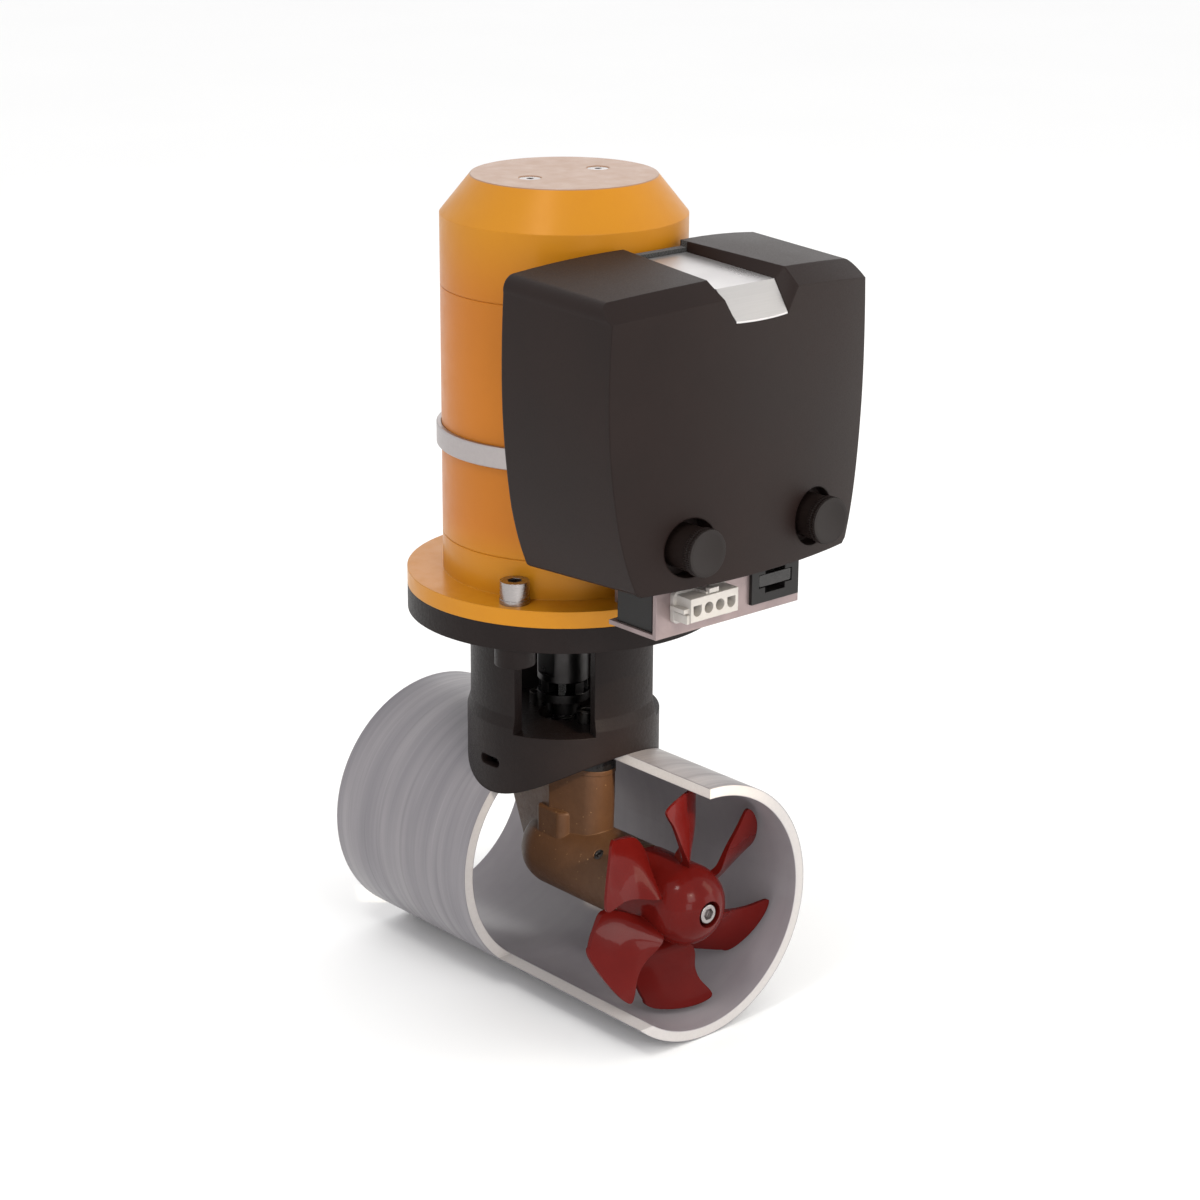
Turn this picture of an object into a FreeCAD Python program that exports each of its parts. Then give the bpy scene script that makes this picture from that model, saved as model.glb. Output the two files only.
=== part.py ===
import FreeCAD, Part
import os
import re
import math
import Sketcher
from FreeCAD import Vector, Rotation, Placement

# Electric tunnel thruster: motor on top, saddle flange, bronze leg, propeller in a
# display tunnel with a quarter cut away.  Millimetres.
# Frame: +Z up along the motor axis, Y along the tunnel (propeller towards -Y),
# origin where the two axes cross.

doc = FreeCAD.newDocument("tunnel_thruster")
sheet = doc.addObject("Spreadsheet::Sheet", "Sheet")

DIMS = [
    # tunnel
    ("tun_ri", 55.0), ("tun_wall", 5.0), ("tun_front", 99.0), ("tun_back", 97.0),
    ("cut_y", 0.5), ("cut_z", 44.5), ("leg_hole_gap", 0.7),
    # saddle flange
    ("sad_r", 42.7), ("sad_wall", 6.0), ("skirt_r", 44.3), ("skirt_z", 73.5), ("skirt_top", 79.0),
    ("fl_r", 71.0), ("sadfl_z0", 121.3), ("sadfl_z1", 132.8), ("floor_z0", 62.0), ("floor_z1", 68.0),
    ("win_z0", 71.2), ("win_z1", 117.0), ("boss_r", 9.0), ("boss_z", 112.5), ("bolt_pr", 61.5), ("bolt_az", -151.0),
    # leg and pod
    ("lnose_y", -23.0), ("lnose_r", 8.8), ("leg_w", 13.0), ("leg_wy", -4.8), ("ltail_y", 32.5), ("ltail_r", 4.5), ("leg_z", 48.6), ("leg_bolt", 16.5),
    ("pod_r", 18.4), ("pod_cy", 2.0), ("pod_front", 50.0), ("pod_bore", 14.5),
    ("leg_bore", 9.5), ("shaft_r", 5.0), ("propshaft_r", 5.0),
    # motor
    ("mot_r", 54.7), ("mot_ri", 49.0), ("mfl_z1", 140.4), ("ring_z1", 157.5), ("tube_z1", 270.3),
    ("cap_sh", 301.6), ("cap_z1", 318.5), ("cap_r1", 41.1), ("bore_run", 0.05),
    ("mshaft_r", 8.5), ("mshaft_rt", 7.5), ("lb_ro", 20.0), ("lb_z0", 141.0), ("lb_z1", 153.0),
    ("ub_ro", 17.5), ("ub_z0", 298.0), ("ub_z1", 309.0),
    ("core_r", 40.5), ("core_z0", 176.0), ("core_z1", 244.0), ("mag_ri", 41.5),
    ("com_r", 19.0), ("com_z0", 258.0), ("com_z1", 284.0),
    # band
    ("band_z0", 198.3), ("band_z1", 207.9), ("band_r", 57.0),
    # cover
    ("cov_front", 125.0), ("cov_arc", 232.0), ("cov_back", 47.5), ("cov_wall", 2.5),
    ("knob_x", 35.9), ("knob_z", 183.5), ("knob_r", 10.4), ("knob_front", 132.5), ("knob_len", 4.6), ("well_r", 12.8),
    # bracket
    ("br_x", 42.0), ("br_y", 108.0), ("br_t", 2.0), ("br_z0", 140.6), ("br_back", 78.5),
    # propeller
    ("hub_r", 18.8), ("hub_y0", 57.0), ("hub_y1", 84.0), ("nose_y", 101.0), ("tip_r", 52.3),
]
V = {}
for i, (alias, value) in enumerate(DIMS, 1):
    sheet.set("A%d" % i, alias)
    sheet.set("B%d" % i, repr(value))
    sheet.setAlias("B%d" % i, alias)
    V[alias] = value
doc.recompute()

SUB = []


def val(e):
    return e if isinstance(e, (int, float)) else measured(e)


def measured(e):
    # a sum of signed terms, each a number, an alias or number*alias
    total = 0.0
    for sign, term in re.findall(r"([+-]?)\s*([^+-]+)", e):
        p = 1.0
        for f in term.split("*"):
            f = f.strip()
            p *= V[f] if f in V else float(f)
        total += -p if sign == "-" else p
    return total


def fx(e):
    return re.sub(r"[a-z][a-z_0-9]*", lambda m: "Sheet." + m.group(0) if m.group(0) in V else m.group(0), e)


def bind(obj, prop, e):
    if isinstance(e, str):
        obj.setExpression(prop, fx(e))


def new_body(label):
    b = doc.addObject("PartDesign::Body", label)
    b.Label = label
    b.AllowCompound = True
    b.Placement = Placement()
    SUB.append(b)
    return b


def plane(body, role):
    return [f for f in body.Origin.OriginFeatures if f.Role == role][0]


def sketch(body, pl, off=0):
    sk = body.newObject("Sketcher::SketchObject", "Sketch")
    sk.AttachmentSupport = [(plane(body, pl), "")]
    sk.MapMode = "FlatFace"
    if off != 0:
        sk.AttachmentOffset = Placement(Vector(0, 0, val(off)), Rotation())
        bind(sk, "AttachmentOffset.Base.z", off)
    return sk


def _pt(sk, geo, pos, x, y):
    for kind, e, axis in (("DistanceX", x, -2), ("DistanceY", y, -1)):
        v = val(e)
        if abs(v) < 1e-9:
            sk.addConstraint(Sketcher.Constraint("PointOnObject", geo, pos, axis))
        else:
            c = sk.addConstraint(Sketcher.Constraint(kind, -1, 1, geo, pos, v))
            bind(sk, "Constraints[%d]" % c, e)


def poly(sk, pts):
    g0 = sk.GeometryCount
    n = len(pts)
    for i in range(n):
        a, b = pts[i], pts[(i + 1) % n]
        sk.addGeometry(Part.LineSegment(Vector(val(a[0]), val(a[1]), 0), Vector(val(b[0]), val(b[1]), 0)), False)
    for i in range(n):
        sk.addConstraint(Sketcher.Constraint("Coincident", g0 + i, 2, g0 + (i + 1) % n, 1))
    for i in range(n):
        _pt(sk, g0 + i, 1, *pts[i])


def circle(sk, r, x=0, y=0):
    g = sk.addGeometry(Part.Circle(Vector(val(x), val(y), 0), Vector(0, 0, 1), val(r)), False)
    if abs(val(x)) < 1e-9 and abs(val(y)) < 1e-9:
        sk.addConstraint(Sketcher.Constraint("Coincident", g, 3, -1, 1))
    else:
        _pt(sk, g, 3, x, y)
    c = sk.addConstraint(Sketcher.Constraint("Radius", g, val(r)))
    bind(sk, "Constraints[%d]" % c, r)


def revolve(body, pl, pts, cut=False):
    sk = sketch(body, pl)
    poly(sk, pts)
    f = body.newObject("PartDesign::Groove" if cut else "PartDesign::Revolution", "Cut" if cut else "Turned")
    f.Profile = sk
    f.ReferenceAxis = (sk, ["V_Axis"])
    f.Angle = 360
    doc.recompute()
    return f


def extrude(body, pl, off, length, circles=(), polys=(), cut=False, sym=False, back=False):
    sk = sketch(body, pl, off)
    for c in circles:
        circle(sk, *c)
    for p in polys:
        poly(sk, p)
    f = body.newObject("PartDesign::Pocket" if cut else "PartDesign::Pad", "Pocket" if cut else "Pad")
    f.Profile = sk
    f.Length = abs(val(length))
    bind(f, "Length", length)
    if sym:
        f.Midplane = True
    if back:
        f.Reversed = True
    doc.recompute()
    return f


def around(body, feats, n, role="Z_Axis"):
    p = body.newObject("PartDesign::PolarPattern", "Around")
    p.Originals = feats
    p.Axis = (plane(body, role), [""])
    p.Angle = 360
    p.Occurrences = n
    body.Tip = p
    doc.recompute()
    return p


def vol(b):
    return b.Shape.Volume


def tangent_angle(px, py, cy, r, side):
    # angle on a circle at (0, cy) where the line from (px, py) touches it
    vx, vy = px, py - cy
    return math.atan2(vy, vx) + side * math.acos(r / math.hypot(vx, vy))


def foil_points(off, nose=None, tail=None):
    # outline of the leg's streamlined section as points, off mm outside it
    ny, nr = (V["lnose_y"], V["lnose_r"]) if nose is None else nose
    ty, tr = (V["ltail_y"], V["ltail_r"]) if tail is None else tail
    w, wy = V["leg_w"] + off, V["leg_wy"]
    a0 = tangent_angle(w, wy, ny, nr + off, -1)
    a1 = tangent_angle(w, wy, ty, tr + off, 1)
    pts = [(w, wy)]
    for k in range(17):
        a = a1 + (math.pi - 2 * a1) * k / 16.0
        pts.append(((tr + off) * math.cos(a), ty + (tr + off) * math.sin(a)))
    pts.append((-w, wy))
    for k in range(25):
        a = math.pi - a0 + (math.pi + 2 * a0) * k / 24.0
        pts.append(((nr + off) * math.cos(a), ny + (nr + off) * math.sin(a)))
    return pts


def feature(label, shape):
    # a turned shape keeps its turn in its geometry, so the sub-part's own placement stays at the origin
    turn = shape.Placement.toMatrix()
    shape = shape.copy()
    shape.Placement = Placement()
    shape = shape.transformShape(turn, True)
    f = doc.addObject("Part::Feature", label)
    f.Label = label
    f.Shape = shape
    f.Placement = Placement()
    SUB.append(f)
    return f


def rect(x0, x1, y0, y1):
    return [(x0, y0), (x1, y0), (x1, y1), (x0, y1)]


def ring(label, pl, ri, ro, a, b):
    """plain ring about the plane's V axis"""
    bd = new_body(label)
    revolve(bd, pl, [(ri, a), (ro, a), (ro, b), (ri, b)])
    return bd


def hexpts(x, y, af, turn=0.0):
    r = af / math.sqrt(3)
    return [(x + r * math.cos(math.radians(60 * k + turn)), y + r * math.sin(math.radians(60 * k + turn))) for k in range(6)]


# ---------------------------------------------------------------- tunnel
b = ring("tunnel", "XY_Plane", "tun_ri", "tun_ri+tun_wall", "-tun_front", "tun_back")
v0 = vol(b)
extrude(b, "XZ_Plane", "cut_y", 120, polys=[rect(-80, 0, "-cut_z", 80)], cut=True, back=True)
v1 = vol(b)
extrude(b, "XY_Plane", 0, 80, polys=[foil_points(V["leg_hole_gap"])], cut=True, back=True)
print("tunnel", round(v0), round(v1), round(vol(b)))

# ---------------------------------------------------------------- saddle flange
SAD_RI = "sad_r-sad_wall"
b = new_body("saddle_flange")
revolve(b, "XZ_Plane", [
    (27.0, "sadfl_z1"), (27.0, "sadfl_z0+3"), (SAD_RI, "sadfl_z0"), (SAD_RI, "floor_z1"), (11.5, "floor_z1"),
    (11.5, "floor_z0"), (39.0, "floor_z0"), (39.0, 20.0), ("skirt_r", 20.0), ("skirt_r", "skirt_z"),
    ("sad_r", "skirt_top"), ("sad_r", "sadfl_z0"), ("fl_r", "sadfl_z0"), ("fl_r", "sadfl_z1")])
v0 = vol(b)
extrude(b, "XZ_Plane", 0, 200, circles=[("tun_ri+tun_wall", 0, 0)], cut=True, sym=True)
az = math.radians(V["bolt_az"])
bx, by = V["bolt_pr"] * math.cos(az), V["bolt_pr"] * math.sin(az)
boss = extrude(b, "XY_Plane", "boss_z", "sadfl_z0-boss_z+2", circles=[("boss_r", bx, by)])
around(b, [boss], 3)
hole = extrude(b, "XY_Plane", "sadfl_z1+1", 30, circles=[(4.05, bx, by)], cut=True)
around(b, [hole], 3)
hole = extrude(b, "XY_Plane", "floor_z1+1", 8, circles=[(3.1, 0, "-leg_bolt")], cut=True)
around(b, [hole], 2)
for c, h in ((-136.5, 25), (-38, 20), (108, 24)):
    w = []
    for r, a in ((30, -h), (46, -h), (50, 0), (46, h), (30, h), (30.5, 0)):
        t = math.radians(c + a)
        w.append((r * math.cos(t), r * math.sin(t)))
    extrude(b, "XY_Plane", "win_z1", "win_z1-win_z0", polys=[w], cut=True)
extrude(b, "YZ_Plane", 0, 60, polys=[rect(-4.0, 4.0, 52.9, 57.7)], cut=True)
extrude(b, "YZ_Plane", 0, 60, circles=[(2.4, -4.0, 55.3)], cut=True)
extrude(b, "YZ_Plane", 0, 60, circles=[(2.4, 4.0, 55.3)], cut=True)
print("saddle", round(v0), round(vol(b)), len(b.Shape.Solids))

b = new_body("housing_bolts")
f1 = extrude(b, "XY_Plane", "floor_z1", 6, circles=[(5.0, 0, "-leg_bolt")])
f2 = extrude(b, "XY_Plane", 26, "floor_z1-26", circles=[(3.0, 0, "-leg_bolt")])
f3 = extrude(b, "XY_Plane", "floor_z1+6", 3, polys=[hexpts(0, -V["leg_bolt"], 5.0)], cut=True)
around(b, [f1, f2, f3], 2)
print("housing bolts", round(vol(b)), len(b.Shape.Solids))

# ---------------------------------------------------------------- gear housing (leg + pod), one casting
Y = Vector(0, 1, 0)
Z = Vector(0, 0, 1)


def foil_wire(z, ny, nr, w, wy, ty, tr):
    # streamlined section at height z: nose towards the propeller, widest at wy, slimmer tail
    a0 = tangent_angle(w, wy, ny, nr, -1)
    a1 = tangent_angle(w, wy, ty, tr, 1)
    at = lambda cy, r, a: Vector(r * math.cos(a), cy + r * math.sin(a), z)
    p0, p1 = at(ty, tr, a1), at(ty, tr, math.pi - a1)
    q0, q1 = at(ny, nr, math.pi - a0), at(ny, nr, a0)
    e = [Part.LineSegment(Vector(w, wy, z), p0).toShape(), Part.Arc(p0, Vector(0, ty + tr, z), p1).toShape(),
         Part.LineSegment(p1, Vector(-w, wy, z)).toShape(), Part.LineSegment(Vector(-w, wy, z), q0).toShape(),
         Part.Arc(q0, Vector(0, ny - nr, z), q1).toShape(), Part.LineSegment(q1, Vector(w, wy, z)).toShape()]
    return Part.Wire(e)


def foil_prism(z0, z1, off):
    w = foil_wire(z0, V["lnose_y"], V["lnose_r"] + off, V["leg_w"] + off, V["leg_wy"], V["ltail_y"], V["ltail_r"] + off)
    return Part.Face(w).extrude(Vector(0, 0, z1 - z0))


def cyl(r, h, base, d):
    return Part.makeCylinder(r, h, base, d)


# black collar between the leg and the saddle floor
collar = foil_prism(V["leg_z"], V["floor_z0"], 0.4)
collar = collar.cut([cyl(9.7, 20, Vector(0, 0, V["leg_z"] - 2), Z)] + [cyl(3.1, 20, Vector(0, q * V["leg_bolt"], V["leg_z"] - 2), Z) for q in (1, -1)])
feature("leg_collar", collar)

wy = V["leg_wy"]
leg = Part.makeLoft([foil_wire(0, -22.0, 8.7, 12.5, wy, 21.0, 5.0), foil_wire(21, -22.5, 8.7, 12.7, wy, 29.5, 5.0),
                     foil_wire(34, -22.8, 8.8, 12.9, wy, 32.0, 4.8), foil_wire(46.3, V["lnose_y"], V["lnose_r"], V["leg_w"], wy, V["ltail_y"], V["ltail_r"])], True, True)
rim = foil_prism(46.3, V["leg_z"], 0.35)
pod = cyl(V["pod_r"], V["pod_front"] + V["pod_cy"], Vector(0, -V["pod_front"], 0), Y)
tail = Part.makeSphere(V["pod_r"], Vector(0, V["pod_cy"], 0))
pad = Part.makeBox(28.0, 20.0, 19.8, Vector(-14.0, -16.5, 5.5))
pad = pad.makeFillet(5.6, [e for e in pad.Edges if e.BoundBox.ZLength > 19 and e.BoundBox.YMin < -16])
pad = pad.makeFillet(2.4, [e for e in pad.Edges if e.BoundBox.ZLength > 19 and e.BoundBox.YMin > 3])
pad = pad.makeFillet(1.3, [e for e in pad.Edges if e.BoundBox.ZMin > 25.2])
body = leg.fuse([rim, pod, tail, pad]).removeSplitter()
cav = [cyl(V["pod_bore"], V["pod_front"] + 7, Vector(0, -V["pod_front"] - 1, 0), Y), cyl(9.5, 24, Vector(0, -9, 0), Y),
       cyl(V["leg_bore"], V["leg_z"] + 1, Vector(0, 0, 0), Z)]
for q in (1, -1):
    cav.append(cyl(3.05, 26, Vector(0, q * V["leg_bolt"], 25), Z))
cdir = Vector(-math.cos(math.radians(45.5)), 0, math.sin(math.radians(45.5)))
cbase = Vector(0, -39.5, 0) + cdir * 14.45
cav.append(cyl(2.55, 6, Vector(0, -39.5, 0) + cdir * 13.0, cdir))
body = body.cut(cav[0].fuse(cav[1:]))
feature("gear_housing", body)
print("gear housing", round(body.Volume), body.isValid(), len(body.Solids))
g = cyl(2.5, 3.6, cbase, cdir).cut(cyl(1.3, 3, cbase + cdir * 1.8, cdir))
feature("carrier_screw", g)

# bearing carrier that closes the pod, its bearings and seal
b = new_body("bearing_carrier")
revolve(b, "XY_Plane", [(11.0, -32.0), (14.4, -32.0), (14.4, "-pod_front"), ("pod_r", "-pod_front"), ("pod_r", -55.0), (17.2, -56.4),
                        (6.0, -56.4), (6.0, -50.0), (9.0, -50.0), (9.0, -43.0), (11.0, -43.0)])
ring("prop_shaft_front_bearing", "XY_Plane", "propshaft_r+bore_run", 10.97, -42.6, -33.0)
ring("prop_shaft_rear_bearing", "XY_Plane", "propshaft_r+bore_run", 9.47, 8.0, 14.5)
ring("prop_shaft_seal", "XY_Plane", "propshaft_r+bore_run", 8.97, -49.6, -43.4)
ring("drive_shaft_lower_bearing", "XZ_Plane", "shaft_r+bore_run", 9.47, 17.5, 25.5)
ring("drive_shaft_upper_bearing", "XZ_Plane", "shaft_r+bore_run", 9.47, 29.5, 37.5)
ring("drive_shaft_seal", "XZ_Plane", "shaft_r+bore_run", 9.47, 40.5, 47.0)

# ---------------------------------------------------------------- motor
b = new_body("motor_flange")
revolve(b, "XZ_Plane", [
    (9.5, 128.0), (26.8, 128.0), (26.8, "sadfl_z1"), ("fl_r", "sadfl_z1"), ("fl_r", "mfl_z1"), ("mot_r", "mfl_z1"),
    ("mot_r", "ring_z1-0.4"), ("mot_r-0.4", "ring_z1"), (44.0, "ring_z1"), (44.0, 145.0), (26.0, 145.0), (26.0, "lb_z1"), ("lb_ro", "lb_z1"),
    ("lb_ro", "lb_z0"), (9.5, "lb_z0")])
hole = extrude(b, "XY_Plane", "mfl_z1+1", 12, circles=[(4.05, bx, by)], cut=True)
around(b, [hole], 3)
hole = extrude(b, "XY_Plane", "mfl_z1+1", 6, circles=[(2.0, 14.0, -63.5), (2.0, -14.0, -63.5)], cut=True)

b = new_body("flange_bolts")
f1 = extrude(b, "XY_Plane", "mfl_z1+2.2", 8, circles=[(6.5, bx, by)])
f2 = extrude(b, "XY_Plane", 114, "mfl_z1+2.2-114", circles=[(4.0, bx, by)])
f3 = extrude(b, "XY_Plane", "mfl_z1+10.2", 4, polys=[hexpts(bx, by, 6.0)], cut=True)
around(b, [f1, f2, f3], 3)
print("flange bolts", round(vol(b)), len(b.Shape.Solids))
b = new_body("spring_washers")
f1 = extrude(b, "XY_Plane", "mfl_z1", 2.2, circles=[(6.7, bx, by), (4.1, bx, by)])
around(b, [f1], 3)
print("spring washers", round(vol(b)), len(b.Shape.Solids))

b = new_body("motor_housing")
revolve(b, "XZ_Plane", [("mot_ri", "ring_z1"), ("mot_r-0.4", "ring_z1"), ("mot_r", "ring_z1+0.4"), ("mot_r", "tube_z1-0.4"),
                        ("mot_r-0.4", "tube_z1"), ("mot_ri", "tube_z1")])
b = new_body("motor_end_cap")
revolve(b, "XZ_Plane", [
    ("mot_r-0.4", "tube_z1"), ("mot_r", "tube_z1+0.4"), ("mot_r", "cap_sh"), ("cap_r1", "cap_z1"), (0, "cap_z1"), (0, 311.0),
    (16.0, 311.0), (16.0, 297.0), (24.5, 297.0), (24.5, 310.0), (38.0, 310.0), (48.0, 298.5), (48.0, "tube_z1")])
extrude(b, "XY_Plane", "cap_z1+1", 16, circles=[(2.55, 19.5, 0), (2.55, -19.5, 0)], cut=True)
sink = Part.makeCone(2.4, 5.0, 2.8, Vector(0, 0, V["cap_z1"] - 2.7), Z)
for sx in (19.5, -19.5):
    # countersinks as turned pockets on the screw axes
    sk = sketch(b, "XZ_Plane")
    z1 = V["cap_z1"]
    poly(sk, [(sx, z1 - 2.65), (sx + 2.6, z1 - 2.65), (sx + 5.35, z1 + 0.1), (sx, z1 + 0.1)])
    n = sk.addGeometry(Part.LineSegment(Vector(sx, z1 - 3, 0), Vector(sx, z1 + 3, 0)), True)
    gr = b.newObject("PartDesign::Groove", "Countersink")
    gr.Profile = sk
    gr.ReferenceAxis = (sk, ["Axis0"])
    gr.Angle = 360
    doc.recompute()
print("end cap", round(vol(b)))

shp = []
for sx in (19.5, -19.5):
    p = Vector(sx, 0, 0)
    z1 = V["cap_z1"]
    s = Part.makeCone(2.45, 4.75, 2.3, p + Z * (z1 - 2.6), Z).fuse(cyl(2.5, 10.5, p + Z * (z1 - 13), Z)).removeSplitter()
    r = 3.0 / math.sqrt(3)
    hx = Part.Face(Part.makePolygon([p + Vector(r * math.cos(k * math.pi / 3), r * math.sin(k * math.pi / 3), z1 - 2.4) for k in range(7)]))
    shp.append(s.cut(hx.extrude(Vector(0, 0, 3))))
feature("end_cap_screws", Part.makeCompound(shp))

b = new_body("field_magnets")
sk = sketch(b, "XZ_Plane")
poly(sk, [("mag_ri", 172.0), ("mot_ri-0.1", 172.0), ("mot_ri-0.1", 248.0), ("mag_ri", 248.0)])
f = b.newObject("PartDesign::Revolution", "Segment")
f.Profile = sk
f.ReferenceAxis = (sk, ["V_Axis"])
f.Angle = 72
doc.recompute()
around(b, [f], 4)
print("magnets", len(b.Shape.Solids))

ring("lower_motor_bearing", "XZ_Plane", "mshaft_r+bore_run", "lb_ro", "lb_z0", "lb_z1")
ring("upper_motor_bearing", "XZ_Plane", "mshaft_rt+bore_run", 16.0, "ub_z0", "ub_z1")

b = new_body("brush_plate")
revolve(b, "XZ_Plane", [(24.0, 262.0), ("mot_ri-0.1", 262.0), ("mot_ri-0.1", 265.0), (24.0, 265.0)])
f1 = extrude(b, "XY_Plane", 265, 12.5, polys=[rect(22.0, 38.0, 4.1, 6.0)])
f2 = extrude(b, "XY_Plane", 265, 12.5, polys=[rect(22.0, 38.0, -6.0, -4.1)])
around(b, [f1, f2], 4)
b = new_body("carbon_brushes")
f1 = extrude(b, "XY_Plane", 265.1, 11, polys=[rect("com_r+0.3", 32.0, -4.0, 4.0)])
around(b, [f1], 4)
b = new_body("brush_springs")
f1 = extrude(b, "XY_Plane", 266, 9, polys=[[(32.0, -3.0), (32.7, -3.0), (36.9, 2.6), (38.4, 2.6), (38.4, 3.4), (36.4, 3.4), (32.0, -2.2)]])
around(b, [f1], 4)
print("brushes", len(b.Shape.Solids))

# band that holds the control bracket to the motor, with its worm screw at the back
b = new_body("band_clamp")
revolve(b, "XZ_Plane", [("mot_r+0.2", "band_z0"), ("band_r-0.4", "band_z0"), ("band_r", "band_z0+0.4"), ("band_r", "band_z1-0.4"), ("band_r-0.4", "band_z1"),
                        ("mot_r+0.2", "band_z1")])
extrude(b, "XZ_Plane", "-66", "66-56.4", polys=[rect(-9.0, 9.0, 197.6, 208.6)], back=False)
extrude(b, "YZ_Plane", 0, 40, circles=[(2.65, 62.5, 203.1)], cut=True, sym=True)
b = new_body("band_screw")
f = extrude(b, "YZ_Plane", -16, 32, circles=[(2.6, 62.5, 203.1)])
f = extrude(b, "YZ_Plane", 13, 5, circles=[(4.4, 62.5, 203.1)])
f = extrude(b, "YZ_Plane", 18, 2, polys=[rect(58.0, 67.0, 202.5, 203.7)], cut=True)
print("band screw", round(vol(b)))

# ---------------------------------------------------------------- armature, coupling and drive shaft (turn together about Z)
b = new_body("motor_shaft")
revolve(b, "XZ_Plane", [(0, 92.0), (5.6, 92.0), (6.0, 92.4), (6.0, 126.0), ("mshaft_r", 127.0), ("mshaft_r", 297.0), ("mshaft_rt", 297.4), ("mshaft_rt", 309.5), (0, 309.5)])
b = new_body("armature_core")
revolve(b, "XZ_Plane", [("mshaft_r", "core_z0"), ("core_r", "core_z0"), ("core_r", "core_z1"), ("mshaft_r", "core_z1")])
slot = extrude(b, "XY_Plane", "core_z1+1", "core_z1-core_z0+2", polys=[rect(28.0, 42.0, -1.6, 1.6)], cut=True)
around(b, [slot], 18)
print("core", round(vol(b)))
b = new_body("armature_windings")
revolve(b, "XZ_Plane", [(14.0, "core_z0"), (14.0, 166.0), (17.0, 162.5), (33.0, 162.5), (38.0, 166.0), (38.8, "core_z0")])
revolve(b, "XZ_Plane", [(14.0, "core_z1"), (38.8, "core_z1"), (37.0, 252.0), (31.0, 256.0), (17.0, 256.0), (14.0, 252.0)])
print("windings", len(b.Shape.Solids))
b = new_body("commutator")
revolve(b, "XZ_Plane", [("mshaft_r", "com_z0"), (21.0, "com_z0"), (21.0, "com_z0+3"), ("com_r", "com_z0+3"), ("com_r", "com_z1"), ("mshaft_r", "com_z1")])
slot = extrude(b, "XY_Plane", "com_z1+1", "com_z1-com_z0-2", polys=[rect(17.6, 20.0, -0.35, 0.35)], cut=True)
around(b, [slot], 18)

b = new_body("coupling_top_hub")
revolve(b, "XZ_Plane", [(6.0, 86.0), (12.0, 86.0), (12.0, 117.0), (11.0, 118.0), (6.0, 118.0)])
extrude(b, "XY_Plane", 86, 5.4, polys=[rect(5.2, 11.4, -2.4, 2.4), rect(-11.4, -5.2, -2.4, 2.4)], back=True)
extrude(b, "XY_Plane", 119, 30, polys=[rect(10.6, 13.0, -13.0, 13.0), rect(-13.0, -10.6, -13.0, 13.0)], cut=True)
b = new_body("coupling_spider")
extrude(b, "XY_Plane", 80.2, 5.6, circles=[(4.9, 0, 0)])
q = 0.7071
arm = []
for k in range(4):
    a = math.radians(45 + 90 * k)
    c, s = math.cos(a), math.sin(a)
    arm.append([(3.0 * c + 1.5 * s, 3.0 * s - 1.5 * c), (11.2 * c + 1.5 * s, 11.2 * s - 1.5 * c), (11.2 * c - 1.5 * s, 11.2 * s + 1.5 * c), (3.0 * c - 1.5 * s, 3.0 * s + 1.5 * c)])
    extrude(b, "XY_Plane", 80.2, 5.6, polys=[arm[-1]])
b = new_body("coupling_bottom_hub")
revolve(b, "XZ_Plane", [("shaft_r", 69.0), (7.4, 69.0), (7.4, 76.0), (12.0, 76.0), (12.0, 80.0), ("shaft_r", 80.0)])
extrude(b, "XY_Plane", 80, 5.4, polys=[rect(-2.4, 2.4, 5.2, 11.4), rect(-2.4, 2.4, -11.4, -5.2)])
b = new_body("drive_shaft")
revolve(b, "XZ_Plane", [(0, 12.2), ("shaft_r", 12.2), ("shaft_r", 79.0), (4.6, 79.6), (0, 79.6)])

# ---------------------------------------------------------------- bevel gears, straight teeth converging on the origin
Z1, Z2, MOD = 13, 21, 1.2
R1, R2 = MOD * Z1 / 2, MOD * Z2 / 2
KIN = 0.64
D1 = math.atan2(R1, R2)
CONE = math.hypot(R1, R2)


def bevel(n, delta, phase, back, hub_r, bore, bore_from):
    """gear about +Z with its apex at the origin and its teeth facing the origin"""
    rp, h = CONE * math.sin(delta), CONE * math.cos(delta)
    add, ded = 0.75 * MOD, 1.0 * MOD
    cs, sn = math.cos(delta), math.sin(delta)
    # blank: cone at the root, outer face normal to the pitch line
    ro, zo = rp - ded * cs, h + ded * sn
    pts = [Vector(0, 0, zo * KIN), Vector(ro * KIN, 0, zo * KIN), Vector(ro, 0, zo), Vector(ro - 0.4, 0, zo + 0.6), Vector(hub_r, 0, zo + 0.9), Vector(hub_r, 0, back), Vector(0, 0, back)]
    blank = Part.Face(Part.makePolygon(pts + [pts[0]])).revolve(Vector(0, 0, 0), Z, 360)
    half_p, half_r, half_a = 0.36, 0.62, 0.17      # half thicknesses in modules at the pitch line, the root and the tip
    quad = []
    for side in (1, -1):
        lvl = [(-ded - 0.35, half_r * MOD), (0, half_p * MOD), (add, half_a * MOD)]
        pl = [Vector(rp + d * cs, side * w, h - d * sn) for d, w in lvl]
        quad.append(pl)
    prof = quad[0] + quad[1][::-1]
    w1 = Part.makePolygon(prof + [prof[0]])
    inner = [p * KIN for p in prof]
    w2 = Part.makePolygon(inner + [inner[0]])
    tooth = Part.makeLoft([w1, w2], True, True)
    teeth = []
    for k in range(n):
        t = tooth.copy()
        t.rotate(Vector(0, 0, 0), Z, phase + 360.0 * k / n)
        teeth.append(t)
    s = blank.fuse(teeth).removeSplitter()
    if bore:
        s = s.cut(cyl(bore, 60, Vector(0, 0, bore_from), Z))
    return s


pinion = bevel(Z1, D1, -90.0, 17.0, 7.2, 5.0, 12.2)
feature("bevel_pinion", pinion)
gear = bevel(Z2, math.pi / 2 - D1, 0.0, 16.0, 8.5, 5.0, -1.0)
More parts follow.
